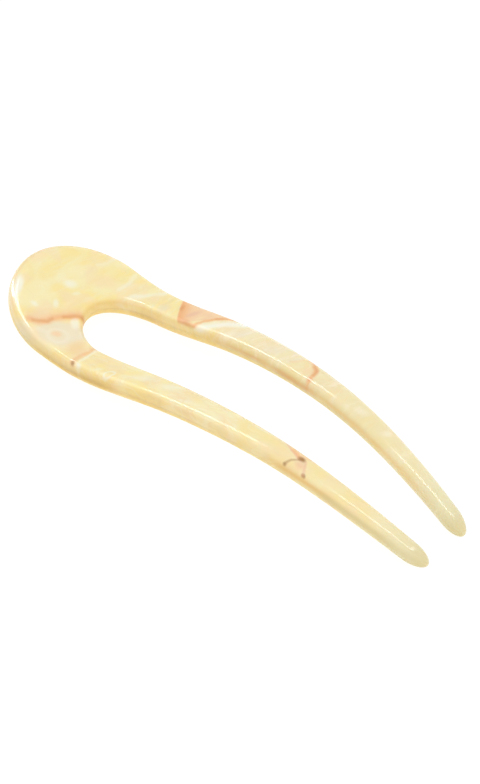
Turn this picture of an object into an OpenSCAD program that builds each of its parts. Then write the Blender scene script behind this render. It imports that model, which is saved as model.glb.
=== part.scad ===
// French hair pin: one flat U of marbled acetate, its head end flared up, its two prongs bent to an arch.
// It lies as it rests by itself, on its belly near the slot's end and on the undersides of both tips.
// +X runs from the head to the tips, +Y across the pin, +Z up; the origin is the middle of the box's base.

/* [Overall] */
// Length of the pin from its head end to its tips, seen from above
pin_length = 126; // [100:1:160]
// Width across both prongs where the pin is widest
pin_width = 32.3; // [26:0.1:42]
// Thickness of the sheet that the pin is cut from
sheet_t = 5; // [3.6:0.1:6.6]

/* [Edges] */
// Distance that the tumbled rounding reaches in from each side, across the sheet
edge_reach = 3.4; // [1.5:0.1:5]
// Largest share of half the width that the rounding may take
edge_share = 0.85; // [0.4:0.05:0.95]
// Power of the rounding at the head: 2 is an ellipse, and more is squarer
head_power = 3; // [2:0.05:4]
// Power of the rounding along the prongs
prong_power = 2.05; // [2:0.05:4]
// Distance from the head end at which the rounding starts to get softer
soft_start = 12; // [0:1:20]
// Distance from the head end at which the rounding is as soft as the prongs'
soft_end = 45; // [25:1:70]

/* [Head] */
// Length of the solid head, from its end to the slot
head_length = 19.7; // [14:0.1:28]
// Length over which the rounded head end reaches the full width
head_round = 17.5; // [12:0.1:26]
// Length of the slot's rounded end
slot_round = 12.6; // [6:0.2:20]

/* [Prongs] */
// Width of one prong beside the slot's rounded end
prong_w = 7.6; // [5:0.1:10]
// Width of one prong just before its rounded tip
tip_w = 4.8; // [3:0.1:7]
// Thickness of a prong just before its rounded tip
tip_t = 3.4; // [2:0.1:5]
// Distance across both tips, from outer side to outer side
tip_spread = 17.1; // [12:0.1:30]
// Length of the rounding at each tip
tip_round = 4.7; // [2:0.1:9]

/* [Bend] */
// Height of the head end above the belly, along the middle of the sheet
head_lift = 5.4; // [0:0.1:10]
// Distance from the slot's start to the belly that the pin rests on
belly_shift = 6.1; // [2:0.1:12]
// Height of the arch's crown above the belly, along the middle of the sheet
arch_rise = 9.1; // [4:0.1:16]
// Place of the crown, as a share of the slot's length
crown_place = 0.57; // [0.4:0.01:0.7]
// Place of the shoulder where the climb is steepest, as a share of the way from the belly to the crown
shoulder_place = 0.45; // [0.35:0.01:0.6]
// Height of the shoulder, as a share of the crown's
shoulder_height = 0.58; // [0.4:0.01:0.7]
// Slope at the shoulder, as a multiple of the mean slope from the belly to the crown
shoulder_steep = 1.57; // [1:0.01:2]
// Downward slope of the prongs at their tips, in degrees
tip_slope = 22; // [14:1:32]

/* [Taper] */
// Share of the slot's length after which the outer sides close in
outer_start = 0.04; // [0:0.01:0.3]
// How late the outer sides close in, as the power of their curve
outer_power = 2.65; // [1.5:0.05:4]
// Share of the slot's length after which the inner sides close in
inner_start = 0.26; // [0.15:0.01:0.5]
// How late the inner sides close in, as the power of their curve
inner_power = 2.1; // [1.5:0.05:4]
// Share of the pin's length after which the sheet gets thinner
thin_start = 0.4; // [0.2:0.05:0.7]
// How late the sheet gets thinner, as the power of its curve
thin_power = 1.5; // [1:0.1:3]

/* [Hidden] */

// Stations round a half of the head, along a prong and round a tip
head_steps = 24;
prong_steps = 38;
tip_steps = 10;
// Points round a quarter of an edge and across a flat face, in each station's ring
edge_steps = 6;
face_steps = 3;
ring_size = 4 * (edge_steps + 1) + 2 * (face_steps - 1);

// Places along the pin, measured from its head end
slot_length = pin_length - head_length;
slot_turn = head_length + slot_round;
tip_start = pin_length - tip_round;
outer_from = head_length + outer_start * slot_length;
inner_from = head_length + inner_start * slot_length;
thin_from = thin_start * pin_length;
belly_x = head_length + belly_shift;
crown_x = head_length + crown_place * slot_length;
shoulder_x = belly_x + shoulder_place * (crown_x - belly_x);

// Half widths of the slot and the pin, and how far each side closes in towards the tips
slot_half = pin_width / 2 - prong_w;
pin_half = pin_width / 2;
outer_closing = pin_half - tip_spread / 2;
inner_closing = slot_half - (tip_spread / 2 - tip_w);

// Height of the sheet's middle at the very tip that lays the rounded tip's underside level with the belly's
tip_reach = tip_round * sin(tip_slope);
tip_height = norm([tip_reach, tip_t / 2 * cos(tip_slope)]) - tip_reach - sheet_t / 2;

// Value that is a share of the way from one to another
function mix(from, to, share) = from + (to - from) * share;

// Part of a taper that is done at x: none before its start, all of it at the tips
function done(x, start, power) = pow(max(0, (x - start) / (pin_length - start)), power);

// Distance of a prong's outer side from the middle line, before the tip is rounded
function outer_side(x) = pin_half - outer_closing * done(x, outer_from, outer_power);

// Distance of a prong's inner side from the middle line, before the tip is rounded
function inner_side(x) = slot_half - inner_closing * done(x, inner_from, inner_power);

// Share of the full width and thickness that is left where a tip is rounded as half an ellipse
function tip_left(x) = sqrt(1 - pow(max(0, (x - tip_start) / tip_round), 2));

// A side's distance from the middle line, drawn in to the prong's own middle at the rounded tip
function rounded(x, side) =
    let (middle = (outer_side(x) + inner_side(x)) / 2)
    middle + (side - middle) * tip_left(x);

// Thickness of the sheet before the tip is rounded
function thickness(x) = sheet_t - (sheet_t - tip_t) * done(x, thin_from, thin_power);

// Knots of the bend, seen from the side: [place along X, height above the belly, slope]
bend_knots = [
    [0, head_lift, -2 * head_lift / belly_x],
    [belly_x, 0, 0],
    [shoulder_x, shoulder_height * arch_rise, shoulder_steep * arch_rise / (crown_x - belly_x)],
    [crown_x, arch_rise, 0],
    [pin_length, tip_height, -tan(tip_slope)]
];

// Height and slope at x of the smooth cubic curve between two knots
function between(x, from, to) =
    let (run = to[0] - from[0], u = (x - from[0]) / run, v = 1 - u)
    [
        (1 + 2 * u) * v * v * from[1] + u * v * v * run * from[2]
            + (3 - 2 * u) * u * u * to[1] - u * u * v * run * to[2],
        6 * u * v * (to[1] - from[1]) / run + (1 - 3 * u) * v * from[2] + (3 * u - 2) * u * to[2]
    ];

// Height above the belly and slope of the sheet's middle at x
function bend(x) =
    let (i = x < belly_x ? 0 : x < shoulder_x ? 1 : x < crown_x ? 2 : 3)
    between(x, bend_knots[i], bend_knots[i + 1]);

// A point of the flat sheet, h above its middle, carried to its place on the bent sheet
function bent(x, y, h) =
    let (place = bend(x), slope = atan(place[1]))
    [x - h * sin(slope), y, place[0] + h * cos(slope)];

// Stations from the head to a tip: the inner point and the outer point of the flat outline at each
head_stations = [
    for (i = [0:head_steps])
    let (turn = 90 * i / head_steps)
    [
        [slot_turn - slot_round * cos(turn), slot_half * sin(turn)],
        [head_round * (1 - cos(turn)), outer_side(head_round) * sin(turn)]
    ]
];
prong_stations = [
    for (i = [1:prong_steps])
    let (
        share = i / prong_steps,
        inner_x = mix(slot_turn, tip_start, share),
        outer_x = mix(head_round, tip_start, share)
    )
    [[inner_x, inner_side(inner_x)], [outer_x, outer_side(outer_x)]]
];
tip_stations = [
    for (i = [1:tip_steps - 1])
    let (x = mix(tip_start, pin_length, sin(90 * i / tip_steps)))
    [[x, rounded(x, inner_side(x))], [x, rounded(x, outer_side(x))]]
];
stations = concat(head_stations, prong_stations, tip_stations);

// Power of the rounding at x, which gets softer from the head to the prongs
function edge_power(x) =
    mix(head_power, prong_power, min(1, max(0, (x - soft_start) / (soft_end - soft_start))));

// Distance from the middle of a superellipse of unit size and that power to its rim, at an angle
function fullness(turn, power) =
    pow(pow(abs(cos(turn)), power) + pow(abs(sin(turn)), power), -1 / power);

// One rounded edge of the sheet's section, as [across, up] points; right is 1 or -1
function edge_curve(w, t, reach, power, right, from) =
    [
        for (i = [0:edge_steps])
        let (turn = from + 90 * i / edge_steps, full = fullness(turn, power))
        [right * (w / 2 - reach) + reach * full * cos(turn), t / 2 * full * sin(turn)]
    ];

// Points across the section's upper or lower face, between two rounded edges; up is 1 or -1
function face_points(w, t, reach, up) =
    [for (i = [1:face_steps - 1]) [up * (w / 2 - reach) * (1 - 2 * i / face_steps), up * t / 2]];

// Section of the sheet, w wide and t thick, whose rounding has that reach and power
function section(w, t, reach, power) =
    concat(
        edge_curve(w, t, reach, power, 1, 0),
        face_points(w, t, reach, 1),
        edge_curve(w, t, reach, power, -1, 90),
        edge_curve(w, t, reach, power, -1, 180),
        face_points(w, t, reach, -1),
        edge_curve(w, t, reach, power, 1, 270)
    );

// Ring of the bent pin at a station; side is 1 for the left prong and -1 for the right one
function ring(station, side) =
    let (
        inner = station[0],
        outer = station[1],
        across = outer - inner,
        w = norm(across),
        middle = (inner + outer) / 2,
        t = thickness(middle[0]) * tip_left(middle[0]),
        reach = min(edge_reach, edge_share * w / 2)
    )
    [
        for (point = section(w, t, reach, edge_power(middle[0])))
        let (flat = middle + across / w * point[0])
        bent(flat[0], side * flat[1], point[1])
    ];

// The very end of a prong's tip
function tip_point(side) =
    bent(pin_length, side * (outer_side(pin_length) + inner_side(pin_length)) / 2, 0);

last = len(stations) - 1;
rings = concat(
    [for (i = [last:-1:1]) ring(stations[i], -1)],
    [for (i = [0:last]) ring(stations[i], 1)]
);
ring_points = [for (one = rings) each one];
points = concat(ring_points, [tip_point(-1), tip_point(1)]);
right_end = len(ring_points);
left_end = right_end + 1;

// Triangles between each ring and the next one, and from the end rings to the tips' ends
function corner(ring_number, i) = ring_number * ring_size + i % ring_size;
wall_faces = [
    for (j = [0:len(rings) - 2], i = [0:ring_size - 1])
    each [
        [corner(j, i), corner(j + 1, i), corner(j, i + 1)],
        [corner(j + 1, i), corner(j + 1, i + 1), corner(j, i + 1)]
    ]
];
end_faces = [
    for (i = [0:ring_size - 1])
    each [
        [right_end, corner(0, i), corner(0, i + 1)],
        [left_end, corner(len(rings) - 1, i + 1), corner(len(rings) - 1, i)]
    ]
];

// Shift that puts the origin at the middle of the box's base
lengths = [for (point = points) point[0]];
heights = [for (point = points) point[2]];
to_origin = [-(min(lengths) + max(lengths)) / 2, 0, -min(heights)];

module hair_pin() {
    color([0.95, 0.88, 0.68])
    translate(to_origin)
    polyhedron(points = points, faces = concat(wall_faces, end_faces), convexity = 6);
}

hair_pin();
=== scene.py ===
"""French hair pin of marbled acetate: its smooth surface, its finish, and the studio that it lies in.

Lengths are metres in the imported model's own frame. Places of marks on the pin are millimetres on the
flat sheet, before it was bent: along the pin from its head end, and across it from its middle line.
"""

from __future__ import annotations

import logging
from abc import ABC, abstractmethod
from dataclasses import dataclass, field
from enum import Enum
from typing import Any

import bpy
import numpy as np
from mathutils import Matrix, Vector

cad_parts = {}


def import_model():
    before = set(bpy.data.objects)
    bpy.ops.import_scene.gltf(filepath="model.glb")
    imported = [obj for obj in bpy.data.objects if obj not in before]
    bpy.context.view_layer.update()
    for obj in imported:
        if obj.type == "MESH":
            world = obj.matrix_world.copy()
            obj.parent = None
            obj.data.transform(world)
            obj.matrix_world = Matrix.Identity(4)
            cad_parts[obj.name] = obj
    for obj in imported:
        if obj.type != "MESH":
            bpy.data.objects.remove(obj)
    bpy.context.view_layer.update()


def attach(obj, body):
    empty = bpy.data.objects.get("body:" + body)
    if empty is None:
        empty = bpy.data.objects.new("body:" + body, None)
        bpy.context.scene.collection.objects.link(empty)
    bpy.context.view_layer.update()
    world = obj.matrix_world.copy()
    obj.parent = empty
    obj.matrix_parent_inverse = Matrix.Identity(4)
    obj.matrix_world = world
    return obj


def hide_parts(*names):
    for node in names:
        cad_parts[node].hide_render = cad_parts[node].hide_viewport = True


LOG = logging.getLogger("hair_pin")

MM = 0.001
PHOTO_WIDTH = 480
PHOTO_HEIGHT = 784

PIN_NODE = "hair_pin"
PIN_BODY = "root"
SHEET_PLACE = "sheet_place"
SHEET_FACING = "sheet_facing"

Colour = tuple[int, int, int]
Light = tuple[float, float, float, float]
Place = tuple[float, float]
Span = tuple[float, float]
Direction = tuple[float, float, float]

ALONG = (1.0, 0.0, 0.0)
LEFT = (0.0, 1.0, 0.0)
RIGHT = (0.0, -1.0, 0.0)
UP = (0.0, 0.0, 1.0)
WHITE = (1.0, 1.0, 1.0, 1.0)

# A mark that ends at this height goes right through: it is below the sheet's underside, in millimetres
THROUGH = -3.0


def linear(colour: Colour) -> Light:
    """Turns a display colour into the linear one that shaders use.

    Each channel c is c / 12.92 where it is dark, and ((c + 0.055) / 1.055) ** 2.4 elsewhere.

    Args:
        colour: Red, green and blue from 0 to 255.

    Returns:
        Linear red, green, blue and an alpha of 1.
    """
    shares = np.array(colour) / 255
    lit = np.where(shares <= 0.04045, shares / 12.92, ((shares + 0.055) / 1.055) ** 2.4)
    return (*lit.tolist(), 1.0)


def turned(degrees: float, long: float, wide: float) -> tuple[Direction, Direction]:
    """Directions along and across a turned oval, each divided by the oval's size that way.

    Args:
        degrees: Angle from the pin's length.
        long: Size along the oval.
        wide: Size across it.

    Returns:
        The two directions on the sheet.
    """
    turn = np.radians(degrees)
    cos, sin = float(np.cos(turn)), float(np.sin(turn))
    return (cos / long, sin / long, 0.0), (-sin / wide, cos / wide, 0.0)


class Signal:
    """What a socket gives over the surface: an expression on it adds its Math nodes."""

    def __init__(self, shader: Shader, socket: bpy.types.NodeSocket) -> None:
        """Wraps the socket of a shader's node."""
        self.shader = shader
        self.socket = socket

    def __add__(self, other: Signal | float) -> Signal:
        """Sum."""
        return self.shader.math("ADD", self, other)

    def __radd__(self, other: float) -> Signal:
        """Sum with a number on the left."""
        return self.shader.math("ADD", other, self)

    def __sub__(self, other: Signal | float) -> Signal:
        """Difference."""
        return self.shader.math("SUBTRACT", self, other)

    def __rsub__(self, other: float) -> Signal:
        """Difference from a number."""
        return self.shader.math("SUBTRACT", other, self)

    def __mul__(self, other: Signal | float) -> Signal:
        """Product."""
        return self.shader.math("MULTIPLY", self, other)

    def __pow__(self, other: float) -> Signal:
        """Power."""
        return self.shader.math("POWER", self, other)

    def __abs__(self) -> Signal:
        """Distance from zero."""
        return self.shader.math("ABSOLUTE", self)

    def root(self) -> Signal:
        """Square root."""
        return self.shader.math("SQRT", self)

    def at_least(self, low: float) -> Signal:
        """The value, or low where that is more."""
        return self.shader.math("MAXIMUM", self, low)

    def at_most(self, high: Signal | float) -> Signal:
        """The value, or high where that is less."""
        return self.shader.math("MINIMUM", self, high)

    def dot(self, direction: Direction) -> Signal:
        """How far a vector reaches in a direction."""
        values = {0: self, 1: direction}
        return self.shader.node("ShaderNodeVectorMath", {"operation": "DOT_PRODUCT"}, values, "Value")

    def length(self) -> Signal:
        """Length of a vector."""
        return self.shader.node("ShaderNodeVectorMath", {"operation": "LENGTH"}, {0: self}, "Value")

    def ramp(self, low: float, high: float) -> Signal:
        """A smooth step: 0 up to low, 1 from high on; low above high turns it round.

        Args:
            low: Where it leaves 0.
            high: Where it reaches 1.

        Returns:
            The step.
        """
        flip = low > high
        return self.shader.node(
            "ShaderNodeMapRange",
            {"interpolation_type": "SMOOTHSTEP"},
            {
                "Value": self,
                "From Min": min(low, high),
                "From Max": max(low, high),
                "To Min": 1.0 if flip else 0.0,
                "To Max": 0.0 if flip else 1.0,
            },
        )


class Shader:
    """Node tree of one material, and the methods that add its nodes."""

    def __init__(self, name: str) -> None:
        """Starts a material with an empty tree.

        Args:
            name: The material's name.
        """
        self.material = bpy.data.materials.new(name)
        self.material.use_nodes = True
        self.tree = self.material.node_tree
        self.tree.nodes.clear()

    def node(
        self,
        kind: str,
        settings: dict[str, Any] | None = None,
        values: dict[str | int, Any] | None = None,
        output: str | int = 0,
    ) -> Signal:
        """Adds one node, sets its settings, and then gives its sockets their values or links.

        Args:
            kind: The node's type, such as ShaderNodeMath.
            settings: The node's own options, by name.
            values: What each input gets, by its name or number: a Signal is linked, the rest is set.
            output: Name or number of the output that is handed back.

        Returns:
            The chosen output.
        """
        made = self.tree.nodes.new(kind)
        for option, choice in (settings or {}).items():
            setattr(made, option, choice)
        for key, value in (values or {}).items():
            if isinstance(value, Signal):
                self.tree.links.new(value.socket, made.inputs[key])
            else:
                made.inputs[key].default_value = value
        return Signal(self, made.outputs[output]) if len(made.outputs) else Signal(self, None)

    def math(self, operation: str, *operands: Signal | float) -> Signal:
        """Adds a Math node on these operands."""
        return self.node("ShaderNodeMath", {"operation": operation}, dict(enumerate(operands)))

    def vector(self, operation: str, *operands: Signal | Direction) -> Signal:
        """Adds a Vector Math node that gives a vector."""
        return self.node("ShaderNodeVectorMath", {"operation": operation}, dict(enumerate(operands)))

    def scaled(self, vector: Signal | Direction, factor: Signal | float) -> Signal:
        """A vector times a number."""
        return self.node("ShaderNodeVectorMath", {"operation": "SCALE"}, {0: vector, "Scale": factor})

    def mix(self, factor: Signal | float, first: Any, second: Any) -> Signal:
        """Blends two colours: the first at factor 0, the second at factor 1."""
        return self.node(
            "ShaderNodeMix", {"data_type": "RGBA"}, {0: factor, 6: first, 7: second}, 2
        )

    def noise(
        self,
        place: Signal,
        size: float,
        detail: float,
        roughness: float = 0.5,
        swirl: float = 0.0,
        output: str = "Fac",
    ) -> Signal:
        """Soft three-dimensional noise from 0 to 1.

        Args:
            place: Where it is read, in millimetres.
            size: Width of its largest clouds, in millimetres.
            detail: Number of finer layers.
            roughness: Share that each finer layer keeps.
            swirl: How much the noise bends itself.
            output: Fac for one value, Color for three.

        Returns:
            The noise.
        """
        return self.node(
            "ShaderNodeTexNoise",
            {"noise_dimensions": "3D"},
            {
                "Vector": place,
                "Scale": 1 / size,
                "Detail": detail,
                "Roughness": roughness,
                "Distortion": swirl,
            },
            output,
        )

    def finish(self, surface: Signal) -> bpy.types.Material:
        """Links the surface to the material's output and hands the material back."""
        self.node("ShaderNodeOutputMaterial", None, {"Surface": surface})
        return self.material


class Tint(Enum):
    """Colours that the acetate is marbled with, and the painted shade of its walls, from 0 to 255."""

    CREAM = (255, 235, 184)
    BUTTER = (255, 228, 158)
    BLUSH = (254, 225, 178)
    MILK = (255, 244, 224)
    SAND = (246, 214, 158)
    OLIVE = (230, 224, 186)
    DUSK = (228, 214, 172)
    PEACH = (247, 211, 168)
    SALMON = (241, 183, 126)
    RUST = (226, 162, 102)
    AMBER = (238, 202, 134)
    ROSE = (234, 190, 160)
    UMBER = (172, 126, 74)
    MIST = (240, 228, 198)
    # Painted shade: the walls are multiplied by these two, the first high on the wall, the second low.
    UPPER_WALL_SHADE = (240, 237, 222)
    LOWER_WALL_SHADE = (240, 231, 194)
    STRAW = (222, 206, 152)
    # Golden-brown colours that are also used as painted shade on the head's and neck's walls.
    HONEY_AND_SHADE = (214, 172, 84)
    TOFFEE_AND_SHADE = (178, 136, 58)

    @property
    def light(self) -> Light:
        """The colour as shaders use it."""
        return linear(self.value)


@dataclass(frozen=True)
class SheetPoint:
    """What the marks read at each point of the surface.

    The place is on the flat sheet, moved by soft noise; the height is above the sheet's middle, in
    millimetres; the facing is 1 where the surface faces the right prong's outer side, -1 opposite.
    """

    place: Signal
    height: Signal
    facing: Signal

    def off(self, start: Place) -> Signal:
        """The place as seen from another one."""
        return self.place.shader.vector("SUBTRACT", self.place, (*start, 0.0))


@dataclass(frozen=True)
class Mark(ABC):
    """One mark in the marbling: its tint, how much of it shows, and how deep and softly it ends."""

    tint: Tint
    strength: float
    deepest: float = field(default=THROUGH, kw_only=True)
    soft_end: float = field(default=0.35, kw_only=True)

    @abstractmethod
    def shape(self, point: SheetPoint) -> Signal:
        """Share of the mark over the sheet, whatever its depth and strength."""

    def mask(self, point: SheetPoint) -> Signal:
        """Share of the mark's tint over the surface.

        It is the shape times the strength, times a smooth step of the height where the mark ends.

        Args:
            point: What is read at a point.

        Returns:
            The share.
        """
        share = self.shape(point) * self.strength
        if self.deepest > THROUGH:
            low, high = self.deepest - self.soft_end, self.deepest + self.soft_end
            share = share * point.height.ramp(low, high)
        return share


@dataclass(frozen=True)
class Vein(Mark):
    """Thin streak that follows a line of places."""

    line: tuple[Place, ...]
    half_width: float

    def shape(self, point: SheetPoint) -> Signal:
        """Share of the streak over the sheet.

        The distance to the line is the least of the distances to its straight runs, and the share is a
        smooth step of it, from 1 on the line to 0 at half the width.

        Args:
            point: What is read at a point.

        Returns:
            The share.
        """
        shader = point.place.shader
        nearest: Signal | None = None
        for start, end in zip(self.line, self.line[1:]):
            run = np.array([end[0] - start[0], end[1] - start[1], 0.0])
            offset = point.off(start)
            share = offset.dot(tuple(run / np.dot(run, run)))
            share = share.at_least(0.0).at_most(1.0)
            distance = shader.vector("SUBTRACT", offset, shader.scaled(tuple(run), share)).length()
            nearest = distance if nearest is None else nearest.at_most(distance)
        return nearest.ramp(self.half_width, 0.0)


@dataclass(frozen=True)
class Band(Mark):
    """Straight edge that is sharp on one side and fades away on the other, its left seen from its start."""

    start: Place
    end: Place
    fade: float
    sharpness: float = 0.3
    fade_power: float = 1.5
    end_softness: float = 0.8

    def shape(self, point: SheetPoint) -> Signal:
        """Share of the band over the sheet.

        It is the sharp edge's smooth step, times a power of what is left of the fade, times a smooth
        step past each end.

        Args:
            point: What is read at a point.

        Returns:
            The share.
        """
        run = np.array(self.end) - np.array(self.start)
        size = float(np.hypot(*run))
        along_x, along_y = (run / size).tolist()
        offset = point.off(self.start)
        along = offset.dot((along_x, along_y, 0.0))
        left = offset.dot((-along_y, along_x, 0.0))
        edge = left.ramp(-self.sharpness, self.sharpness)
        fading = left.ramp(self.fade, 0.0) ** self.fade_power
        soft = self.end_softness
        ends = along.ramp(-soft, soft) * along.ramp(size + soft, size - soft)
        return edge * fading * ends


@dataclass(frozen=True)
class Inlay(Mark):
    """Straight-sided piece with these corners, taken counter-clockwise as seen from above."""

    corners: tuple[Place, ...]
    sharpness: float = 0.3

    def shape(self, point: SheetPoint) -> Signal:
        """Share of the piece over the sheet.

        It is the product of a smooth step across each side, of the distance to the left of it.

        Args:
            point: What is read at a point.

        Returns:
            The share.
        """
        share: Signal | float = 1.0
        for start, end in zip(self.corners, self.corners[1:] + self.corners[:1]):
            run = np.array(end) - np.array(start)
            along_x, along_y = (run / np.hypot(*run)).tolist()
            offset = point.off(start)
            left = offset.dot((-along_y, along_x, 0.0))
            share = left.ramp(-self.sharpness, self.sharpness) * share
        return share


@dataclass(frozen=True)
class Cloud(Mark):
    """Soft oval patch, turned by an angle from the pin's length; a hollow one is only its outline."""

    centre: Place
    radii: tuple[float, float]
    degrees: float = 0.0
    core: float = 0.15
    hollow: bool = False

    def shape(self, point: SheetPoint) -> Signal:
        """Share of the patch over the sheet.

        The distance from the centre is measured each way in radii. A full patch is 1 inside the core,
        and 0 from the oval's edge on. A hollow one is 1 on the oval, and 0 the core away from it.

        Args:
            point: What is read at a point.

        Returns:
            The share.
        """
        offset = point.off(self.centre)
        along, across = (offset.dot(way) for way in turned(self.degrees, *self.radii))
        distance = (along * along + across * across).root()
        if self.hollow:
            return abs(distance - 1.0).ramp(self.core, 0.0)
        return distance.ramp(1.0, self.core)


@dataclass(frozen=True)
class Seam(Mark):
    """Layer of another colour that comes to light along the right-hand wall of a prong.

    Its start and end count along the pin, and the start's side says which prong it is on. It comes up
    over its first part and goes over its last one; start_part such parts, or end_part, make its length.
    The honey and toffee seams on the head and neck are partly painted shade: they darken those walls
    downwards.
    """

    start: Place
    end: Place
    level: float
    half_height: float
    start_part: float = 4.0
    end_part: float = 3.0
    turned_right: Span = (0.3, 0.7)
    past_middle: Span = (0.0, 1.0)

    def shape(self, point: SheetPoint) -> Signal:
        """Share of the layer over the walls.

        It is a smooth step of the height's distance from the layer's level, times one of how far the
        wall faces right, times one past each end along the pin, on the middle line's side it is for.

        Args:
            point: What is read at a point.

        Returns:
            The share.
        """
        along = point.place.dot(ALONG)
        side = point.place.dot(LEFT if self.start[1] > 0 else RIGHT)
        length = self.end[0] - self.start[0]
        ends = along.ramp(self.start[0], self.start[0] + length / self.start_part)
        ends = ends * along.ramp(self.end[0], self.end[0] - length / self.end_part)
        near = abs(point.height - self.level).ramp(self.half_height, 0.0)
        share = ends * near * point.facing.ramp(*self.turned_right)
        return share * side.ramp(*self.past_middle)


HEAD_LINE = ((12.6, -13.0), (14.6, -11.9), (15.8, -10.2), (16.0, -8.9), (17.6, -6.6), (19.9, -3.6))
PATCH_CORNERS = ((33.8, 16.8), (39.1, 8.6), (43.6, 8.6), (47.4, 12.9), (54.0, 16.8))
PATCH_RIM = ((43.5, 8.9), (45.3, 11.2), (47.2, 13.1), (49.4, 14.4), (52.6, 15.7))

HEAD_MARKS: tuple[Mark, ...] = (
    Cloud(Tint.BUTTER, 0.95, (5.6, 8.2), (4.6, 2.6), 45),
    Cloud(Tint.BLUSH, 0.8, (16.0, 7.6), (5.4, 3.2), 40),
    Cloud(Tint.MILK, 0.75, (11.6, 1.4), (2.4, 1.9), 30),
    Cloud(Tint.BLUSH, 0.6, (13.5, -1.6), (3.4, 2.0), 20),
    Cloud(Tint.MILK, 0.55, (14.4, 0.5), (1.5, 0.8), 60),
    Cloud(Tint.MILK, 0.7, (13.4, -5.2), (1.9, 1.1), -50),
    Cloud(Tint.MILK, 0.7, (10.2, -9.0), (1.6, 1.0), 10),
    # Whitish halo beside the glint on the head's rim: partly a milky cloud, partly painted highlight.
    Cloud(Tint.MILK, 0.95, (4.2, -8.2), (4.0, 1.7), -58, 0.3),
    Vein(Tint.MILK, 0.35, ((11.8, 10.2), (13.0, 12.4), (13.0, 15.2)), 0.9),
    Vein(Tint.MILK, 0.45, ((20.4, 8.6), (20.8, 11.6), (19.8, 14.6)), 1.0),
    Cloud(Tint.MIST, 0.95, (20.6, -10.8), (8.2, 5.2), 32, 0.5),
    Cloud(Tint.MILK, 0.75, (20.4, -6.0), (2.8, 1.5), -42, 0.3),
    Cloud(Tint.PEACH, 0.75, (19.9, -11.6), (2.0, 1.4), 20),
    Cloud(Tint.MILK, 0.25, (20.6, -11.8), (2.5, 1.9), 20, 0.4, hollow=True),
    Cloud(Tint.MILK, 0.25, (16.4, -13.4), (2.6, 1.0), 20),
    Cloud(Tint.MIST, 0.8, (13.5, -15.4), (6.0, 1.8), -16),
    Band(Tint.PEACH, 0.85, (12.4, -13.6), (20.4, -3.2), 5.2, 0.4),
    Vein(Tint.SALMON, 0.65, HEAD_LINE, 1.7),
    Vein(Tint.RUST, 0.5, ((13.4, -12.6), (15.8, -10.4), (16.0, -9.2)), 0.9),
    Vein(Tint.RUST, 0.5, ((17.6, -6.6), (20.1, -3.4)), 0.9),
    # Partly painted shade: golden-brown that darkens the head's right-hand wall downwards.
    Seam(Tint.HONEY_AND_SHADE, 1.0, (14.0, -10.0), (45.0, -15.0), -0.2, 2.9),
)

NECK_MARKS: tuple[Mark, ...] = (
    Cloud(Tint.SAND, 0.85, (26.4, -11.6), (3.2, 4.2), -10),
    Cloud(Tint.PEACH, 0.5, (28.6, -12.2), (1.8, 3.6), -10),
    Vein(Tint.SALMON, 0.6, ((29.8, -8.6), (30.2, -10.6), (29.4, -13.2), (29.0, -15.4)), 1.3, deepest=1.2),
    Vein(Tint.MILK, 0.55, ((31.0, -9.6), (31.0, -12.2), (30.6, -14.4)), 0.7),
    Cloud(Tint.UMBER, 0.7, (29.1, -15.5), (0.75, 0.7), deepest=1.5),
    Cloud(Tint.MILK, 0.9, (31.0, -15.5), (1.3, 0.9)),
    Cloud(Tint.MILK, 0.7, (39.9, -14.4), (1.4, 0.9), 50, 0.4, hollow=True),
    Cloud(Tint.MILK, 0.5, (36.4, -14.2), (1.8, 0.8), 30),
    Vein(Tint.MILK, 0.6, ((24.2, 8.8), (25.8, 10.6), (29.4, 14.4)), 1.1),
    Cloud(Tint.BLUSH, 0.7, (28.6, 11.8), (3.2, 1.6), 60),
    Cloud(Tint.BUTTER, 0.7, (22.6, 14.0), (2.4, 1.4), 30),
    Cloud(Tint.MIST, 0.6, (33.0, 10.4), (2.6, 2.0), 60),
    # Partly painted shade: golden-brown and toffee that darken the neck's walls downwards.
    Seam(Tint.HONEY_AND_SHADE, 1.0, (13.0, 3.0), (35.0, 8.0), -0.4, 2.8),
    Seam(Tint.TOFFEE_AND_SHADE, 0.95, (13.0, 3.0), (32.0, 8.0), -0.8, 1.9),
)

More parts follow.
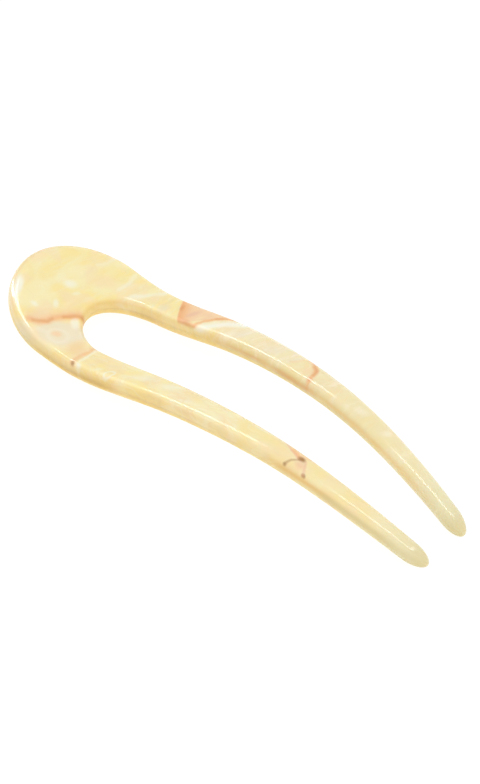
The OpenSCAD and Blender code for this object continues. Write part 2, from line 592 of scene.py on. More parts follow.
LEFT_PRONG_MARKS: tuple[Mark, ...] = (
    Cloud(Tint.MIST, 0.7, (56.0, 11.6), (3.4, 2.0), 60),
    Cloud(Tint.MIST, 0.7, (65.5, 11.4), (4.2, 2.0), 40),
    Vein(Tint.MILK, 1.0, ((44.6, 8.4), (48.0, 10.6), (50.8, 12.8), (54.4, 14.6)), 1.7, deepest=1.2),
    Inlay(Tint.PEACH, 1.0, PATCH_CORNERS, deepest=1.7),
    Band(Tint.SALMON, 1.0, (33.8, 16.8), (39.1, 8.6), 4.6, deepest=1.7),
    Cloud(Tint.RUST, 0.65, (36.9, 12.8), (1.8, 0.9), -58, deepest=1.7),
    Cloud(Tint.RUST, 0.7, (41.6, 9.2), (2.8, 1.1), -4, deepest=1.6),
    Cloud(Tint.ROSE, 0.65, (41.0, 12.2), (2.8, 1.3), 62, deepest=1.7),
    Cloud(Tint.BLUSH, 0.6, (43.4, 11.6), (2.2, 0.9), 58, deepest=1.7),
    Vein(Tint.SALMON, 0.8, PATCH_RIM, 0.95, deepest=1.7),
    Vein(Tint.RUST, 0.45, ((47.2, 13.2), (49.4, 14.5), (52.2, 15.6)), 0.7, deepest=1.7),
    Vein(Tint.SALMON, 0.8, ((73.6, 14.4), (75.6, 13.7), (77.2, 12.4), (77.7, 10.8), (77.8, 9.4)), 1.0),
    Vein(Tint.RUST, 0.55, ((75.6, 13.7), (77.2, 12.4), (77.6, 11.0)), 0.8),
    Vein(Tint.SALMON, 0.5, ((77.8, 9.6), (78.0, 7.6)), 1.0, deepest=0.4),
    Cloud(Tint.MIST, 0.9, (71.6, 12.0), (2.8, 0.9), 58),
    Vein(Tint.SAND, 0.6, ((71.0, 10.8), (73.4, 13.8)), 0.6),
    Cloud(Tint.PEACH, 0.5, (75.8, 11.0), (1.8, 2.4)),
    Cloud(Tint.MILK, 0.35, (92.0, 10.4), (2.8, 1.5), 20),
    Cloud(Tint.MILK, 0.5, (99.5, 10.0), (2.0, 1.3), 50),
    Seam(Tint.AMBER, 0.6, (42.0, 8.0), (84.0, 8.0), 0.6, 1.4),
    Seam(Tint.AMBER, 0.5, (74.0, 8.0), (120.0, 6.0), 0.9, 1.1),
    Seam(Tint.RUST, 0.4, (52.0, 8.0), (67.0, 8.0), 0.7, 0.7),
    Seam(Tint.RUST, 0.45, (66.0, 8.0), (82.0, 8.0), 0.6, 1.2),
)

RIGHT_PRONG_MARKS: tuple[Mark, ...] = (
    Cloud(Tint.MILK, 0.35, (48.0, -12.0), (6.0, 2.0), 20),
    Cloud(Tint.MILK, 0.45, (55.5, -11.6), (5.0, 2.2), 20),
    Cloud(Tint.BUTTER, 0.6, (83.0, -10.4), (6.0, 2.2), 10),
    Inlay(Tint.PEACH, 0.9, ((86.2, -7.6), (91.6, -9.9), (94.6, -6.4)), 0.35),
    Vein(Tint.ROSE, 0.7, ((86.2, -7.8), (89.0, -9.1), (91.4, -9.7)), 0.6),
    Vein(Tint.SALMON, 0.5, ((89.0, -8.8), (91.6, -9.3)), 0.9),
    Vein(Tint.UMBER, 0.5, ((90.1, -12.8), (90.7, -11.2), (92.0, -9.5)), 0.55, deepest=1.2),
    Cloud(Tint.UMBER, 0.65, (90.1, -12.9), (0.7, 0.65), deepest=1.4),
    Cloud(Tint.UMBER, 1.0, (92.1, -9.4), (1.4, 1.0)),
    Cloud(Tint.UMBER, 0.95, (94.9, -12.3), (0.75, 0.7), deepest=1.3),
    Cloud(Tint.BLUSH, 0.7, (92.7, -11.4), (1.5, 1.3), core=0.3),
    Cloud(Tint.ROSE, 0.5, (92.7, -10.8), (2.0, 1.7)),
    Vein(Tint.ROSE, 0.5, ((93.2, -9.4), (94.0, -10.8), (94.8, -12.2)), 0.6),
    Seam(Tint.SAND, 0.5, (38.0, -12.0), (64.0, -12.0), -0.4, 1.4),
    Seam(Tint.AMBER, 0.8, (85.0, -12.0), (107.0, -11.0), 1.0, 1.2),
    Seam(Tint.STRAW, 0.8, (96.0, -12.0), (124.0, -11.0), 0.8, 1.3),
)


@dataclass(frozen=True)
class Dull:
    """Stretch of the pin that is less polished: its middle and half its length, and how much less."""

    middle: float
    half_length: float
    share: float


@dataclass(frozen=True)
class MarbledAcetate:
    """Polished cream acetate, clouded and veined through its whole thickness.

    Lengths and places are millimetres on the flat sheet. A span gives both ends of a smooth step.
    """

    marks: tuple[Mark, ...] = HEAD_MARKS + NECK_MARKS + LEFT_PRONG_MARKS + RIGHT_PRONG_MARKS
    slant: float = 0.2
    sheet_half: float = 2.5
    ripple: float = 0.6
    ripple_size: float = 2.6
    grain: tuple[float, float] = (78.0, 8.0)
    prong_side: Span = (4.0, 8.0)
    neck: Span = (24.0, 34.0)
    dull: tuple[Dull, ...] = (
        Dull(18.6, 5.6, 1.0),
        Dull(41.0, 13.5, 0.95),
        Dull(78.0, 10.0, 0.45),
        Dull(94.0, 11.0, 0.85),
    )
    polished: Span = (-0.8, 0.9)
    # Painted shade on the walls: how upright, the heights it turns over, its least share, and its fade
    # along the pin.
    painted_shade_turn: Span = (0.25, 0.85)
    painted_shade_heights: Span = (1.2, -1.0)
    least_painted_shade: float = 0.3
    painted_shade_way: Direction = (1.0, 0.3, 0.0)
    painted_shade_fade: Span = (110.0, 60.0)
    roughness: float = 0.5
    refraction: float = 1.48
    sheen: float = 0.3
    milkiness: float = 0.8
    depth: float = 0.7
    reach: Direction = (0.8, 0.68, 0.52)
    coat_roughness: float = 0.07
    coat_refraction: float = 1.5

    def read(self, shader: Shader, attribute: str) -> Signal:
        """One of the mesh's vector attributes."""
        settings = {"attribute_name": attribute, "attribute_type": "GEOMETRY"}
        return shader.node("ShaderNodeAttribute", settings, None, "Vector")

    def place(self, shader: Shader) -> Signal:
        """Place on the sheet in millimetres, leaned through the thickness.

        The place along the pin is moved by the slant times the depth below the upper face.

        Args:
            shader: Where the nodes are added.

        Returns:
            The place, as a vector.
        """
        flat = shader.scaled(self.read(shader, SHEET_PLACE), 1 / MM)
        lean = (flat.dot(UP) - self.sheet_half) * self.slant
        return shader.vector("ADD", flat, shader.node("ShaderNodeCombineXYZ", None, {0: lean}))

    def rippled(self, place: Signal) -> Signal:
        """The place moved by soft noise, so that no mark has a ruled edge, and laid flat.

        Args:
            place: The place on the sheet, in millimetres.

        Returns:
            The moved place, without its height.
        """
        shader = place.shader
        swirl = shader.noise(place, self.ripple_size, 2.0, output="Color")
        shift = shader.scaled(shader.vector("SUBTRACT", swirl, (0.5, 0.5, 0.5)), self.ripple)
        return shader.vector("MULTIPLY", shader.vector("ADD", place, shift), (1.0, 1.0, 0.0))

    def streaked(self, place: Signal, long: float, fine: float, degrees: float) -> Signal:
        """The place measured in streak lengths and widths, for noise that is drawn out one way.

        Args:
            place: The place on the sheet, in millimetres.
            long: Length of a streak, in millimetres.
            fine: Width of a streak, in millimetres.
            degrees: Angle of the streaks from the pin's length.

        Returns:
            The place in streaks.
        """
        ways = (*turned(degrees, long, fine), (0.0, 0.0, 1 / (2 * fine)))
        parts = {number: place.dot(way) for number, way in enumerate(ways)}
        return place.shader.node("ShaderNodeCombineXYZ", None, parts)

    def grained(self, place: Signal, long: float, fine: float, detail: float) -> Signal:
        """Noise drawn out along the acetate's grain.

        The grain runs across the pin, but along the right prong from the neck on, so the noise is the
        one drawn out across, blended into one drawn out along by a smooth step of x and one of y.

        Args:
            place: The place on the sheet, in millimetres.
            long: Length of the noise's clouds, in millimetres.
            fine: Width of the noise's clouds, in millimetres.
            detail: Number of finer layers.

        Returns:
            The noise.
        """
        right = place.dot(RIGHT).ramp(*self.prong_side)
        right = right * place.dot(ALONG).ramp(*self.neck)
        over, down = (
            place.shader.noise(self.streaked(place, long, fine, degrees), 1.0, detail, 0.5, 0.7)
            for degrees in self.grain
        )
        return over + (down - over) * right

    def threads(self, place: Signal, long: float, fine: float, width: float) -> Signal:
        """Share of thin threads that follow the level lines of drawn-out noise.

        Args:
            place: The place on the sheet, in millimetres.
            long: Length of the noise's clouds, in millimetres.
            fine: Width of the noise's clouds, in millimetres.
            width: How far from its middle value the noise still counts as a thread.

        Returns:
            The share.
        """
        return abs(self.grained(place, long, fine, 3.0) - 0.5).ramp(width, 0.0)

    def polish(self, shader: Shader) -> Signal:
        """Polish over the pin.

        It is 1 on top and fades down the walls, by a smooth step of the height above the sheet's
        middle. On each dull stretch a smooth step of x takes a share of it away.

        Args:
            shader: Where the nodes are added.

        Returns:
            The polish, from 0 to 1.
        """
        flat = self.read(shader, SHEET_PLACE)
        along = flat.dot((1 / MM, 0.0, 0.0))
        polish = flat.dot((0.0, 0.0, 1 / MM)).ramp(*self.polished)
        for dull in self.dull:
            off = abs(along - dull.middle)
            kept = 1.0 - off.ramp(dull.half_length, dull.half_length / 2) * dull.share
            polish = kept * polish
        return polish

    def ground(self, place: Signal) -> Signal:
        """Colour of the acetate between its marks.

        Cream turns to butter and to a pale blush in broad clouds, to a dull olive along the prongs, to
        milk and dusk in drawn-out wisps, to milk and sand in threads, and to straw at the tips' ends.
        Each layer's share is a smooth step of its noise or of x, times its strength. The wisps and
        threads are fainter on the head and towards the tips.

        Args:
            place: The place on the sheet, in millimetres.

        Returns:
            The colour.
        """
        shader = place.shader
        broad = self.grained(place, 9.0, 5.5, 1.0)
        wide = self.grained(place, 7.0, 2.4, 1.5)
        other = shader.vector("ADD", place, (31.0, 0.0, 5.0))
        along = place.dot(ALONG)
        left = place.dot(LEFT).ramp(-2.0, 2.0)
        drawn = 0.3 + along.ramp(14.0, 34.0) * 0.5 - along.ramp(78.0, 98.0) * 0.5
        layers = (
            (broad.ramp(0.36, 0.64) * 0.9, Tint.BUTTER),
            (shader.noise(other, 7.0, 1.5, 0.5, 0.6).ramp(0.48, 0.66) * 0.7, Tint.BLUSH),
            (along.ramp(40.0, 62.0) * left * 0.45, Tint.OLIVE),
            (along.ramp(50.0, 100.0) * 0.3, Tint.OLIVE),
            (wide.ramp(0.52, 0.76) * drawn * (0.45 + left * 0.25), Tint.MILK),
            (wide.ramp(0.46, 0.28) * drawn * (0.25 + left * 0.1), Tint.DUSK),
            (self.threads(place, 11.0, 4.0, 0.03) * drawn * 0.35, Tint.MILK),
            (self.threads(other, 9.0, 3.4, 0.025) * drawn * 0.4, Tint.SAND),
            (along.ramp(104.0, 125.0) * 0.8, Tint.OLIVE),
            (along.ramp(118.0, 125.5) * 0.7, Tint.STRAW),
        )
        colour: Signal | Light = Tint.CREAM.light
        for share, tint in layers:
            colour = shader.mix(share, colour, tint.light)
        return colour

    def colour(self, shader: Shader) -> Signal:
        """Colour over the whole surface: the ground, then each mark, then the painted shade of the walls.

        The painted shade multiplies the colour by one that turns from a pale shade to a deeper golden shade
        down the wall. Its share is a smooth step of how upright the wall is, and it fades towards the thin
        tips.

        Args:
            shader: Where the nodes are added.

        Returns:
            The colour.
        """
        straight = self.place(shader)
        height = straight.dot(UP)
        facing = self.read(shader, SHEET_FACING)
        point = SheetPoint(self.rippled(straight), height, facing.dot(RIGHT))
        colour = self.ground(straight)
        for mark in self.marks:
            colour = shader.mix(mark.mask(point), colour, mark.tint.light)
        # Painted shade: the walls are darker and more golden further down, less so towards the thin tips.
        wall = shader.vector("MULTIPLY", facing, (1.0, 1.0, 0.0)).length()
        thick = straight.dot(self.painted_shade_way).ramp(*self.painted_shade_fade)
        painted_wall_shade = shader.mix(height.ramp(*self.painted_shade_heights), Tint.UPPER_WALL_SHADE.light, Tint.LOWER_WALL_SHADE.light)
        upright = wall.ramp(*self.painted_shade_turn)
        return shader.node(
            "ShaderNodeMix",
            {"data_type": "RGBA", "blend_type": "MULTIPLY"},
            {0: upright * (self.least_painted_shade + thick * (1 - self.least_painted_shade)), 6: colour, 7: painted_wall_shade},
            2,
        )

    def material(self) -> bpy.types.Material:
        """Builds the material: the marbled colour in a translucent body under a polished surface.

        Returns:
            The material.
        """
        shader = Shader("Marbled acetate")
        surface = shader.node(
            "ShaderNodeBsdfPrincipled",
            {"subsurface_method": "RANDOM_WALK"},
            {
                "Base Color": self.colour(shader),
                "Roughness": self.roughness,
                "IOR": self.refraction,
                "Specular IOR Level": self.sheen,
                "Subsurface Weight": self.milkiness,
                "Subsurface Radius": self.reach,
                "Subsurface Scale": self.depth * MM,
                "Coat Weight": self.polish(shader),
                "Coat Roughness": self.coat_roughness,
                "Coat IOR": self.coat_refraction,
            },
        )
        return shader.finish(surface)


@dataclass(frozen=True)
class WhitePaper:
    """Plain matt white of the floor, lit from below as well, so that shadows on it stay faint."""

    tint: Colour = (124, 124, 124)
    glow: float = 0.86
    roughness: float = 0.9
    sheen: float = 0.1

    def material(self) -> bpy.types.Material:
        """Builds the floor's material.

        Returns:
            The material.
        """
        shader = Shader("White paper")
        surface = shader.node(
            "ShaderNodeBsdfPrincipled",
            None,
            {
                "Base Color": linear(self.tint),
                "Roughness": self.roughness,
                "Specular IOR Level": self.sheen,
                "Emission Color": WHITE,
                "Emission Strength": self.glow,
            },
        )
        return shader.finish(surface)


@dataclass
class Outline:
    """Flat shape that the pin is cut to, seen from above, before it is bent."""

    length: float = 126.0 * MM
    width: float = 32.3 * MM
    head_length: float = 19.7 * MM
    head_round: float = 17.5 * MM
    slot_round: float = 12.6 * MM
    prong_width: float = 7.6 * MM
    tip_width: float = 4.8 * MM
    tip_spread: float = 17.1 * MM
    tip_round: float = 4.7 * MM
    outer_start: float = 0.04
    outer_power: float = 2.65
    inner_start: float = 0.26
    inner_power: float = 2.1

    @property
    def slot_length(self) -> float:
        """Length of the slot, from the head to the tips."""
        return self.length - self.head_length

    @property
    def slot_half(self) -> float:
        """Half the slot's width beside its rounded end."""
        return self.width / 2 - self.prong_width

    def done(self, x: np.ndarray, start: float, power: float) -> np.ndarray:
        """Part of a taper that is done at x: the share of the way from its start, to a power."""
        return np.clip((x - start) / (self.length - start), 0, None) ** power

    def outer_side(self, x: np.ndarray) -> np.ndarray:
        """Distance of a prong's outer side from the middle line: it closes in late, by a power curve."""
        start = self.head_length + self.outer_start * self.slot_length
        return self.width / 2 - (self.width - self.tip_spread) / 2 * self.done(x, start, self.outer_power)

    def inner_side(self, x: np.ndarray) -> np.ndarray:
        """Distance of a prong's inner side from the middle line: it closes in late, by a power curve."""
        start = self.head_length + self.inner_start * self.slot_length
        closing = self.slot_half - (self.tip_spread / 2 - self.tip_width)
        return self.slot_half - closing * self.done(x, start, self.inner_power)

    def tip_left(self, x: np.ndarray) -> np.ndarray:
        """Share of the width and thickness that is left at x, where a tip is rounded as half an ellipse."""
        gone = np.clip((x - self.length + self.tip_round) / self.tip_round, 0, 1)
        return np.sqrt(1 - gone**2)

    def stations(self, head: int, prong: int, tip: int) -> tuple[np.ndarray, np.ndarray]:
        """Inner and outer points of the left half's outline, paired from the head to the tip.

        Round the head both sides follow quarter ellipses by the same angle. Along the prong the two
        points go the same share of their way to the tip's start. Round the tip both sides draw in to
        the prong's middle by the root that tip_left gives, at places that crowd towards the end.

        Args:
            head: Number of steps round the head.
            prong: Number of steps along the prong.
            tip: Number of steps round the tip, the last of which is left to a single point.

        Returns:
            The inner points and the outer points, each an array of x and y.
        """
        turn = np.linspace(0, np.pi / 2, head + 1)
        slot_turn = self.head_length + self.slot_round
        inner_x = [slot_turn - self.slot_round * np.cos(turn)]
        inner_y = [self.slot_half * np.sin(turn)]
        outer_x = [self.head_round * (1 - np.cos(turn))]
        outer_y = [self.outer_side(np.array(self.head_round)) * np.sin(turn)]

        tip_start = self.length - self.tip_round
        share = np.linspace(0, 1, prong + 1)[1:]
        inner_x.append(slot_turn + (tip_start - slot_turn) * share)
        inner_y.append(self.inner_side(inner_x[-1]))
        outer_x.append(self.head_round + (tip_start - self.head_round) * share)
        outer_y.append(self.outer_side(outer_x[-1]))

        x = tip_start + self.tip_round * np.sin(np.linspace(0, np.pi / 2, tip + 1)[1:-1])
        middle = (self.outer_side(x) + self.inner_side(x)) / 2
        half = (self.outer_side(x) - self.inner_side(x)) / 2 * self.tip_left(x)
        inner_x.append(x)
        inner_y.append(middle - half)
        outer_x.append(x)
        outer_y.append(middle + half)
        inner = np.stack([np.concatenate(inner_x), np.concatenate(inner_y)], axis=1)
        outer = np.stack([np.concatenate(outer_x), np.concatenate(outer_y)], axis=1)
        return inner, outer


@dataclass
class Bend:
    """Line that the sheet's middle follows, seen from the side: head up, belly down, arch, tips down."""

    outline: Outline
    sheet: float = 5.0 * MM
    tip_sheet: float = 3.4 * MM
    head_lift: float = 5.4 * MM
    belly_shift: float = 6.1 * MM
    arch_rise: float = 9.1 * MM
    crown_place: float = 0.57
    shoulder_place: float = 0.45
    shoulder_height: float = 0.58
    shoulder_steep: float = 1.57
    tip_slope: float = 22.0
    thin_start: float = 0.4
    thin_power: float = 1.5

    def thickness(self, x: np.ndarray) -> np.ndarray:
        """Thickness of the sheet at x: it thins by a power curve, and to nothing round the tip."""
        thinned = self.outline.done(x, self.thin_start * self.outline.length, self.thin_power)
        return (self.sheet - (self.sheet - self.tip_sheet) * thinned) * self.outline.tip_left(x)

    def knots(self) -> np.ndarray:
        """Points that the bend passes through.

        Returns:
            Rows of place along the pin, height above the belly, and slope.
        """
        shape = self.outline
        belly = shape.head_length + self.belly_shift
        crown = shape.head_length + self.crown_place * shape.slot_length
        shoulder = belly + self.shoulder_place * (crown - belly)
        steep = self.shoulder_steep * self.arch_rise / (crown - belly)
        slope = np.radians(self.tip_slope)
        reach = shape.tip_round * np.sin(slope)
        tip = np.hypot(reach, self.tip_sheet / 2 * np.cos(slope)) - reach - self.sheet / 2
        return np.array(
            [
                [0.0, self.head_lift, -2 * self.head_lift / belly],
                [belly, 0.0, 0.0],
                [shoulder, self.shoulder_height * self.arch_rise, steep],
                [crown, self.arch_rise, 0.0],
                [shape.length, tip, -np.tan(slope)],
            ]
        )

    def height(self, x: np.ndarray) -> tuple[np.ndarray, np.ndarray]:
        """Height and slope at x of the smooth cubic curves between the knots.

        With u the share of the way from a knot to the next and v = 1 - u, the height is
        (1 + 2u) v v z0 + u v v run m0 + (3 - 2u) u u z1 - u u v run m1, and the slope its derivative.

        Args:
            x: Places along the pin.

        Returns:
            The heights above the belly, and the slopes.
        """
        knots = self.knots()
        first = np.clip(np.searchsorted(knots[:, 0], x, side="right") - 1, 0, len(knots) - 2)
        x0, z0, m0 = np.moveaxis(knots[first], -1, 0)
        x1, z1, m1 = np.moveaxis(knots[first + 1], -1, 0)
        run = x1 - x0
        u = (x - x0) / run
        v = 1 - u
        height = (1 + 2 * u) * v * v * z0 + u * v * v * run * m0
        height += (3 - 2 * u) * u * u * z1 - u * u * v * run * m1
        slope = 6 * u * v * (z1 - z0) / run + (1 - 3 * u) * v * m0 + (3 * u - 2) * u * m1
        return height, slope

    def bent(self, flat: np.ndarray) -> np.ndarray:
        """Carries points of the flat sheet to the bent one.

        A point h above the sheet's middle is set off at right angles to the bend at its x.

        Args:
            flat: Points as x, y and height above the sheet's middle, in the last axis.

        Returns:
            The points on the bent sheet, above the belly's middle.
        """
        x, y, h = np.moveaxis(flat, -1, 0)
        height, slope = self.height(x)
        upright = 1 / np.sqrt(1 + slope**2)
        return np.stack([x - h * slope * upright, y, height + h * upright], axis=-1)


@dataclass
class HairPin:
    """The whole pin: its outline carried along the bend, with a section that tumbling has rounded."""

    outline: Outline = field(default_factory=Outline)
    bend: Bend = field(init=False)
    edge_reach: float = 3.4 * MM
    edge_share: float = 0.85
    head_fullness: float = 3.0
    prong_fullness: float = 2.05
    soft_from: float = 12.0 * MM
    soft_by: float = 45.0 * MM
    head_steps: int = 64
    prong_steps: int = 190
    tip_steps: int = 26
    edge_steps: int = 14
    face_steps: int = 10

    def __post_init__(self) -> None:
        """Bends this pin's own outline."""
        self.bend = Bend(self.outline)

    def section(self) -> np.ndarray:
        """Unit ring of the sheet's section, once round from the right side over the top.

        Each column is a point: row 0 says where the middle of its rounding lies, from -1 at the left to
        1 at the right, and rows 1 and 2 are the cosine and sine of its angle about that middle.

        Returns:
            An array of 3 rows, with a column for each point of the ring.
        """
        quarter = np.linspace(0, np.pi / 2, self.edge_steps + 1)
        over = 1 - 2 * np.linspace(0, 1, self.face_steps + 1)[1:-1]
        still, ones = np.zeros_like(over), np.ones_like(over)

        def edge(right: float, start: float) -> np.ndarray:
            """One rounded edge, from its start angle on."""
            turn = start + quarter
            return np.stack([np.full_like(turn, right), np.cos(turn), np.sin(turn)])

        return np.concatenate(
            [
                edge(1, 0),
                np.stack([over, still, ones]),
                edge(-1, np.pi / 2),
                edge(-1, np.pi),
                np.stack([-over, still, -ones]),
                edge(1, 1.5 * np.pi),
            ],
            axis=1,
        )

    def half_rings(self, side: int) -> tuple[np.ndarray, np.ndarray]:
        """Flat rings of one half of the pin, from the head's middle to the last one before the tip.

        Each quarter of the section is a superellipse: at an angle with cosine c and sine s its reach
        and half the thickness are both scaled by (|c|**n + |s|**n) ** (-1 / n), where the power n goes
        from the head's fullness to the prongs'. It faces (c**(n-1) / reach, s**(n-1) / half) there.

        Args:
            side: 1 for the left prong and -1 for the right one.

        Returns:
            Two arrays of rings by points by 3: x, y and height above the sheet's middle, and the
            direction in which the flat sheet's surface faces there.
        """
        inner, outer = self.outline.stations(self.head_steps, self.prong_steps, self.tip_steps)
        middle = (inner + outer) / 2
        wide = np.linalg.norm(outer - inner, axis=1)[:, None]
        along = (outer - inner) / wide
        half = self.bend.thickness(middle[:, 0])[:, None] / 2
        reach = np.minimum(self.edge_reach, self.edge_share * wide / 2)
        soft = np.clip((middle[:, :1] - self.soft_from) / (self.soft_by - self.soft_from), 0, 1)
        power = self.head_fullness + (self.prong_fullness - self.head_fullness) * soft
        centre, cos, sin = self.section()[:, None, :]
        full = (np.abs(cos) ** power + np.abs(sin) ** power) ** (-1 / power)
        off = centre * (wide / 2 - reach) + cos * full * reach
        up = sin * full * half
        points = [middle[:, :1] + along[:, :1] * off, (middle[:, 1:] + along[:, 1:] * off) * side, up]

        aside = np.sign(cos) * np.abs(cos * full) ** (power - 1) / reach
        upright = np.sign(sin) * np.abs(sin * full) ** (power - 1) / half
        size = np.hypot(aside, upright)
        facing = [along[:, :1] * aside / size, along[:, 1:] * side * aside / size, upright / size]
        return np.stack(points, axis=-1), np.stack(facing, axis=-1)

    def flat_points(self) -> tuple[np.ndarray, np.ndarray]:
        """Flat rings from the right tip round the head to the left tip, with the way that each faces."""
        right, left = self.half_rings(-1), self.half_rings(1)
        return tuple(np.concatenate([one[:0:-1], other]) for one, other in zip(right, left))

    def poles(self) -> np.ndarray:
        """The end points of the two tips.

        Returns:
            The right one and the left one, on the flat sheet.
        """
        end = np.array(self.outline.length)
        middle = float(self.outline.outer_side(end) + self.outline.inner_side(end)) / 2
        return np.array([[end, -middle, 0.0], [end, middle, 0.0]])

    def build(self) -> bpy.types.Object:
        """Makes the pin's mesh: a closed tube of rings, with a fan to the end point of each tip.

        The bent points are shifted so that the middle of their box's base is the origin, and the mesh
        keeps each point's place on the flat sheet and the way that the sheet's surface faces there.

        Returns:
            The pin.
        """
        rings, facing = self.flat_points()
        count, size = rings.shape[:2]
        flat = np.concatenate([rings.reshape(-1, 3), self.poles()])
        faces = np.concatenate([facing.reshape(-1, 3), [ALONG] * 2])
        points = self.bend.bent(flat)
        low, high = points.min(axis=0), points.max(axis=0)
        points -= np.array([(low[0] + high[0]) / 2, 0.0, low[2]])

        number = np.arange(count * size).reshape(count, size)
        following = np.roll(number, -1, axis=1)
        quads = np.stack([number[:-1], number[1:], following[1:], following[:-1]], axis=-1).reshape(-1, 4)
        first, last = count * size, count * size + 1
        fans = np.concatenate(
            [
                np.stack([np.full(size, first), number[0], following[0]], axis=-1),
                np.stack([np.full(size, last), following[-1], number[-1]], axis=-1),
            ]
        )
        mesh = bpy.data.meshes.new("hair_pin_surface")
        mesh.from_pydata(points.tolist(), [], quads.tolist() + fans.tolist())
        mesh.polygons.foreach_set("use_smooth", np.ones(len(mesh.polygons), dtype=bool))
        for name, vectors in ((SHEET_PLACE, flat), (SHEET_FACING, faces)):
            kept = mesh.attributes.new(name, "FLOAT_VECTOR", "POINT")
            kept.data.foreach_set("vector", vectors.astype(np.float32).ravel())
        mesh.update()
        pin = bpy.data.objects.new("marbled_hair_pin", mesh)
        bpy.context.scene.collection.objects.link(pin)
        LOG.info("%s: %d rings of %d points, %d faces", pin.name, count, size, len(mesh.polygons))
        return pin

    def dress(self, pin: bpy.types.Object, finish: MarbledAcetate) -> None:
        """Gives the pin its finish and its body, and hides the imported node that it stands in for.

        Args:
            pin: The pin that build made.
            finish: What it is made of.
        """
        pin.data.materials.append(finish.material())
        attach(pin, PIN_BODY)
        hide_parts(PIN_NODE)


@dataclass
class PaleFloor:
    """Plain floor that the pin lies on."""

    half_size: float = 3.0

    def build(self, finish: WhitePaper) -> bpy.types.Object:
        """Makes the floor as one square face at height 0.

        Args:
            finish: What it is covered with.

        Returns:
            The floor.
        """
        corners = self.half_size * np.array([[-1, -1, 0], [1, -1, 0], [1, 1, 0], [-1, 1, 0]])
        mesh = bpy.data.meshes.new("pale_floor")
        mesh.from_pydata(corners.tolist(), [], [(0, 1, 2, 3)])
        floor = bpy.data.objects.new("pale_floor", mesh)
        bpy.context.scene.collection.objects.link(floor)
        floor.data.materials.append(finish.material())
        LOG.info("%s: %.1f m wide", floor.name, 2 * self.half_size)
        return floor


class Role(Enum):
    """Light that lights the pin, and light that is only mirrored in its polish, each with its colour."""

    FILL = (1.0, 1.0, 1.0)
    GLINT = (0.85, 0.93, 1.0)


@dataclass
class SoftBox:
    """One rectangular studio light that faces the pin; its power is in watts, its turn in degrees."""

    name: str
    role: Role
    place: tuple[float, float, float]
    size: tuple[float, float]
    power: float
    turn: float = 0.0

    def build(self) -> bpy.types.Object:
        """Hangs the light at its place, facing the pin, with its first size along the pin's length.

        The light's own axes are the direction away from the pin, and the pin's length made square to
        it, both turned about the first by the light's turn.

        Returns:
            The light.
        """
        data = bpy.data.lights.new(self.name, "AREA")
        data.shape = "RECTANGLE"
        data.size, data.size_y = self.size
        data.energy = self.power
        data.color = self.role.value
        light = bpy.data.objects.new(self.name, data)
        away = Vector(self.place).normalized()
        wide = (Vector(ALONG) - away * away.x).normalized()
        axes = Matrix((wide, away.cross(wide), away)).transposed().to_4x4()
        turned = Matrix.Rotation(np.radians(self.turn), 4, away)
        light.matrix_world = Matrix.Translation(self.place) @ turned @ axes
        light.visible_camera = False
        light.visible_diffuse = self.role is Role.FILL
        light.visible_glossy = self.role is Role.GLINT
        bpy.context.scene.collection.objects.link(light)
        LOG.info("%s: %.1f W", self.name, self.power)
        return light


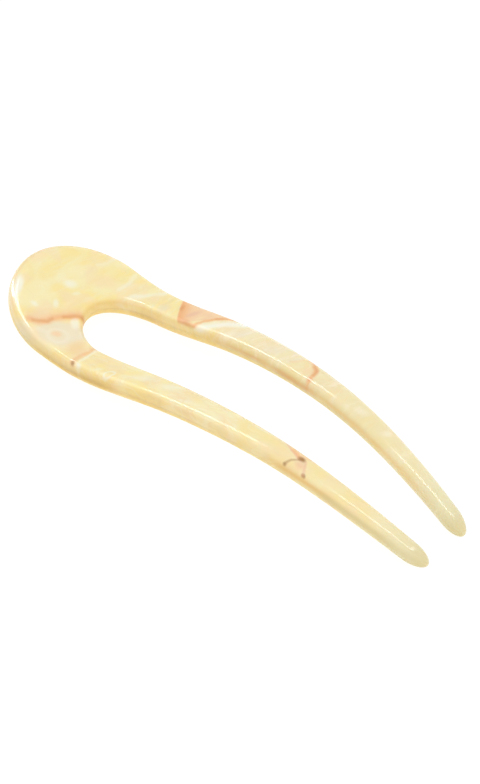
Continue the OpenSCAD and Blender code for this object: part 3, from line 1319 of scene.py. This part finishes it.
@dataclass
class Studio:
    """Soft lights, a white surround and the display settings of the picture."""

    boxes: tuple[SoftBox, ...] = (
        SoftBox("overhead_fill", Role.FILL, (-0.30, 0.085, 0.76), (1.75, 0.21), 0.75),
        SoftBox("side_fill", Role.FILL, (0.96, 0.0, 0.72), (0.9, 0.9), 1.3),
        SoftBox("head_glint", Role.GLINT, (-1.20, -0.15, 0.36), (0.80, 0.26), 8.0),
        SoftBox("arm_glint", Role.GLINT, (-0.82, -0.155, 0.76), (0.82, 0.14), 3.6, 27.0),
        SoftBox("rim_glint", Role.GLINT, (-0.355, 0.07, 0.76), (0.26, 0.16), 1.0, 70.0),
        SoftBox("tip_glint", Role.GLINT, (0.15, 0.28, 0.76), (0.46, 0.10), 0.7, 50.0),
    )
    surround: float = 0.9

    def build(self) -> None:
        """Hangs the lights, sets the world and a display without a film curve."""
        for box in self.boxes:
            box.build()
        world = bpy.data.worlds.new("white_surround")
        world.use_nodes = True
        world.node_tree.nodes["Background"].inputs["Color"].default_value = WHITE
        world.node_tree.nodes["Background"].inputs["Strength"].default_value = self.surround
        scene = bpy.context.scene
        scene.world = world
        scene.view_settings.view_transform = "Standard"
        scene.view_settings.look = "None"
        LOG.info("studio: %d lights", len(self.boxes))


@dataclass
class PhotoCamera:
    """Camera that looks at the pin as the photograph does."""

    azimuth: float = 42.385
    elevation: float = 44.705
    distance: float = 1.0204
    target: tuple[float, float, float] = (0.0, 0.0, 7.0 * MM)
    target_pixel: tuple[float, float] = (230.69, 391.36)
    pixels_per_metre: float = 4499.46
    sensor: float = 36.0
    clip: Span = (0.05, 20.0)

    def build(self) -> bpy.types.Object:
        """Makes the camera and the scene's view through it.

        The lens is the focal length in pixels, scale times distance, as a share of the long side of
        the picture. The shift puts the target on its pixel.

        Returns:
            The camera.
        """
        a, e = np.radians(self.azimuth), np.radians(self.elevation)
        back = Vector((np.sin(a) * np.cos(e), -np.cos(a) * np.cos(e), np.sin(e)))
        long_side = max(PHOTO_WIDTH, PHOTO_HEIGHT)
        data = bpy.data.cameras.new("photo_camera")
        data.sensor_width = self.sensor
        data.lens = self.sensor * self.pixels_per_metre * self.distance / long_side
        data.shift_x = (PHOTO_WIDTH / 2 - self.target_pixel[0]) / long_side
        data.shift_y = (self.target_pixel[1] - PHOTO_HEIGHT / 2) / long_side
        data.clip_start, data.clip_end = self.clip
        camera = bpy.data.objects.new("photo_camera", data)
        camera.location = Vector(self.target) + back * self.distance
        camera.rotation_mode = "QUATERNION"
        camera.rotation_quaternion = back.to_track_quat("Z", "Y")
        bpy.context.scene.collection.objects.link(camera)
        bpy.context.scene.camera = camera
        LOG.info("%s: lens %.1f mm", camera.name, data.lens)
        return camera


def main() -> None:
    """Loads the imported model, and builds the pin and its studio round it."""
    logging.basicConfig(level=logging.INFO, format="%(name)s: %(message)s")
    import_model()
    pin = HairPin()
    pin.dress(pin.build(), MarbledAcetate())
    PaleFloor().build(WhitePaper())
    Studio().build()
    PhotoCamera().build()
    bpy.context.view_layer.update()


if __name__ == "__main__":
    main()
